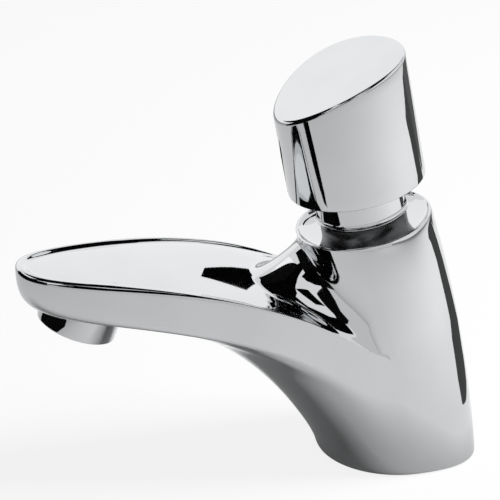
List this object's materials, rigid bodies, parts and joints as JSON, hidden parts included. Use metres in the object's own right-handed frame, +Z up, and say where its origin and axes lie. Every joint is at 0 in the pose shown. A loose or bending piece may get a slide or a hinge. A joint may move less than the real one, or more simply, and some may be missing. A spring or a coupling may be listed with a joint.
{
  "type": "push timed tap",
  "caption": "Chromed one-hole basin tap with a curved spout on a leaning column, a slanted push knob that springs back, a metering cartridge and a threaded inlet tail.",
  "frame": {"origin": "centre of the foot on the deck plane, on the inlet tail's axis", "axes": "+Z up from the deck, the spout points to -Y, +X to the tap's left side as its user faces it"},
  "size_m": [0.0496, 0.1406, 0.1931],
  "materials": {
    "chrome": "polished chrome plate on brass",
    "brass": "turned brass",
    "steel": "turned stainless steel",
    "rubber": "matt moulded rubber",
    "white_plastic": "natural acetal",
    "grey_plastic": "moulded plastic"
  },
  "bodies": {
    "tap": {"body": "chrome", "gland_nut": "chrome", "neck_sleeve": "chrome", "aerator_shell": "chrome", "cartridge_sleeve": "brass", "seat_carrier": "brass", "inlet_tail": "brass", "back_nut": "brass", "return_spring": "steel", "bush_circlip": "steel", "metering_pin": "steel", "aerator_screen": "steel", "inlet_strainer": "steel", "clamp_washer": "steel", "stem_o_ring": "rubber", "wiper_seal": "rubber", "sleeve_o_ring": "rubber", "carrier_o_ring": "rubber", "aerator_washer": "rubber", "tail_seal": "rubber", "base_seal": "rubber", "rubber_washer": "rubber", "guide_bush": "white_plastic", "aerator_insert": "grey_plastic"},
    "push": {"push_knob": "chrome", "stem_lock_nut": "steel", "stem": "steel", "piston": "white_plastic", "piston_lip_seal": "rubber", "piston_circlip": "steel", "valve_washer": "rubber", "valve_plate": "brass", "valve_screw": "steel"}
  },
  "joints": [
    {"name": "knob_push", "type": "slide", "parent": "tap", "child": "push", "axis": [0, 0.1771, -0.9842], "range_m": [0, 0.008], "stiffness_N_per_m": 1500, "springref_m": -0.008, "deforming": ["return_spring"]}
  ]
}
